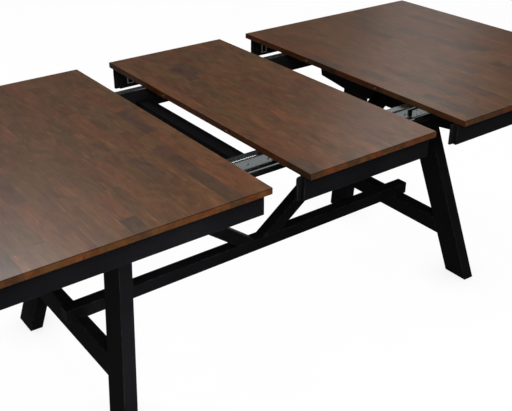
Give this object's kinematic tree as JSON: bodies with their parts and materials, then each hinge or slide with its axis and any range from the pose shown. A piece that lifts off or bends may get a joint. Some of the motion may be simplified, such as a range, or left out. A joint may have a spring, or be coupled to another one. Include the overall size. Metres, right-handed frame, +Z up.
{
  "type": "extension dining table",
  "caption": "Dining table on a splayed trestle base; its half tops slide apart on telescopic ball slides and a leaf drops in between them.",
  "frame": {"origin": "on the floor, under the middle of the table", "axes": "+X along the table, from the left half top to the right one; +Y across it, from the front to the back; +Z up"},
  "size_m": [2.37, 1.067, 0.762],
  "materials": {
    "top_wood": "satin brown stain on edge-glued staves",
    "pin_wood": "plain dowel",
    "black_wood": "satin black paint",
    "slide_steel": "galvanised",
    "latch_steel": "zinc-plated",
    "screw_steel": "zinc-plated",
    "felt": "felt"
  },
  "bodies": {
    "base": {"front_rail": "black_wood", "back_rail": "black_wood", "cross_rails": "black_wood", "left_beam": "black_wood", "right_beam": "black_wood", "left_front_leg": "black_wood", "left_back_leg": "black_wood", "right_front_leg": "black_wood", "right_back_leg": "black_wood", "left_crossbar": "black_wood", "right_crossbar": "black_wood", "stretcher": "black_wood", "left_brace": "black_wood", "right_brace": "black_wood", "frame_screws": "screw_steel", "left_front_track": "slide_steel", "left_back_track": "slide_steel", "right_front_track": "slide_steel", "right_back_track": "slide_steel"},
    "left_top": {"left_board": "top_wood", "left_front_apron": "black_wood", "left_back_apron": "black_wood", "left_end_apron": "black_wood", "left_front_runner": "black_wood", "left_back_runner": "black_wood", "left_corner_blocks": "black_wood", "left_front_arm": "slide_steel", "left_back_arm": "slide_steel", "left_top_screws": "screw_steel", "left_latch_fixings": "latch_steel"},
    "right_top": {"right_board": "top_wood", "right_front_apron": "black_wood", "right_back_apron": "black_wood", "right_end_apron": "black_wood", "right_front_runner": "black_wood", "right_back_runner": "black_wood", "right_corner_blocks": "black_wood", "right_front_arm": "slide_steel", "right_back_arm": "slide_steel", "right_top_screws": "screw_steel", "right_latch_fixings": "latch_steel", "right_seam_pins": "pin_wood"},
    "leaf": {"leaf_board": "top_wood", "leaf_front_apron": "black_wood", "leaf_back_apron": "black_wood", "leaf_pads": "felt", "leaf_seam_pins": "pin_wood", "leaf_latch_fixings": "latch_steel"},
    "left_carriers": {"left_front_carrier": "slide_steel", "left_back_carrier": "slide_steel"},
    "left_track_cage_set": {"left_track_cages": "slide_steel"},
    "left_arm_cage_set": {"left_arm_cages": "slide_steel"},
    "right_carriers": {"right_front_carrier": "slide_steel", "right_back_carrier": "slide_steel"},
    "right_track_cage_set": {"right_track_cages": "slide_steel"},
    "right_arm_cage_set": {"right_arm_cages": "slide_steel"},
    "left_latch": {"left_hook": "latch_steel"},
    "right_latch": {"right_hook": "latch_steel"},
    "leaf_front_latch": {"leaf_front_hook": "latch_steel"},
    "leaf_back_latch": {"leaf_back_hook": "latch_steel"}
  },
  "joints": [
    {"name": "left_top_slide", "type": "slide", "parent": "base", "child": "left_top", "axis": [1, 0, 0], "range_m": [0, 0.1182]},
    {"name": "left_carriers_slide", "type": "slide", "parent": "base", "child": "left_carriers", "axis": [1, 0, 0], "range_m": [0, 0.0591]},
    {"name": "left_track_cages_slide", "type": "slide", "parent": "base", "child": "left_track_cage_set", "axis": [1, 0, 0], "range_m": [0, 0.02955]},
    {"name": "left_arm_cages_slide", "type": "slide", "parent": "base", "child": "left_arm_cage_set", "axis": [1, 0, 0], "range_m": [0, 0.08865]},
    {"name": "right_top_slide", "type": "slide", "parent": "base", "child": "right_top", "axis": [-1, 0, 0], "range_m": [0, 0.1182]},
    {"name": "right_carriers_slide", "type": "slide", "parent": "base", "child": "right_carriers", "axis": [-1, 0, 0], "range_m": [0, 0.0591]},
    {"name": "right_track_cages_slide", "type": "slide", "parent": "base", "child": "right_track_cage_set", "axis": [-1, 0, 0], "range_m": [0, 0.02955]},
    {"name": "right_arm_cages_slide", "type": "slide", "parent": "base", "child": "right_arm_cage_set", "axis": [-1, 0, 0], "range_m": [0, 0.08865]},
    {"name": "leaf_lift", "type": "slide", "parent": "base", "child": "leaf", "axis": [0, 0, 1], "range_m": [0, 0.2]},
    {"name": "left_hook_pivot", "type": "hinge", "parent": "left_top", "child": "left_latch", "pos_m": [-0.397, 0.482, 0.709], "axis": [0, 0, 1], "range_deg": [0, 180]},
    {"name": "right_hook_pivot", "type": "hinge", "parent": "right_top", "child": "right_latch", "pos_m": [0.397, -0.482, 0.709], "axis": [0, 0, 1], "range_deg": [0, 180]},
    {"name": "leaf_front_hook_pivot", "type": "hinge", "parent": "leaf", "child": "leaf_front_latch", "pos_m": [-0.1785, -0.482, 0.709], "axis": [0, 0, 1], "range_deg": [0, 180]},
    {"name": "leaf_back_hook_pivot", "type": "hinge", "parent": "leaf", "child": "leaf_back_latch", "pos_m": [0.1785, 0.482, 0.709], "axis": [0, 0, 1], "range_deg": [0, 180]}
  ],
  "couplings": [
    {"joint": "left_carriers_slide", "follows": "left_top_slide", "ratio": 0.5},
    {"joint": "left_track_cages_slide", "follows": "left_top_slide", "ratio": 0.25},
    {"joint": "left_arm_cages_slide", "follows": "left_top_slide", "ratio": 0.75},
    {"joint": "right_carriers_slide", "follows": "right_top_slide", "ratio": 0.5},
    {"joint": "right_track_cages_slide", "follows": "right_top_slide", "ratio": 0.25},
    {"joint": "right_arm_cages_slide", "follows": "right_top_slide", "ratio": 0.75}
  ]
}
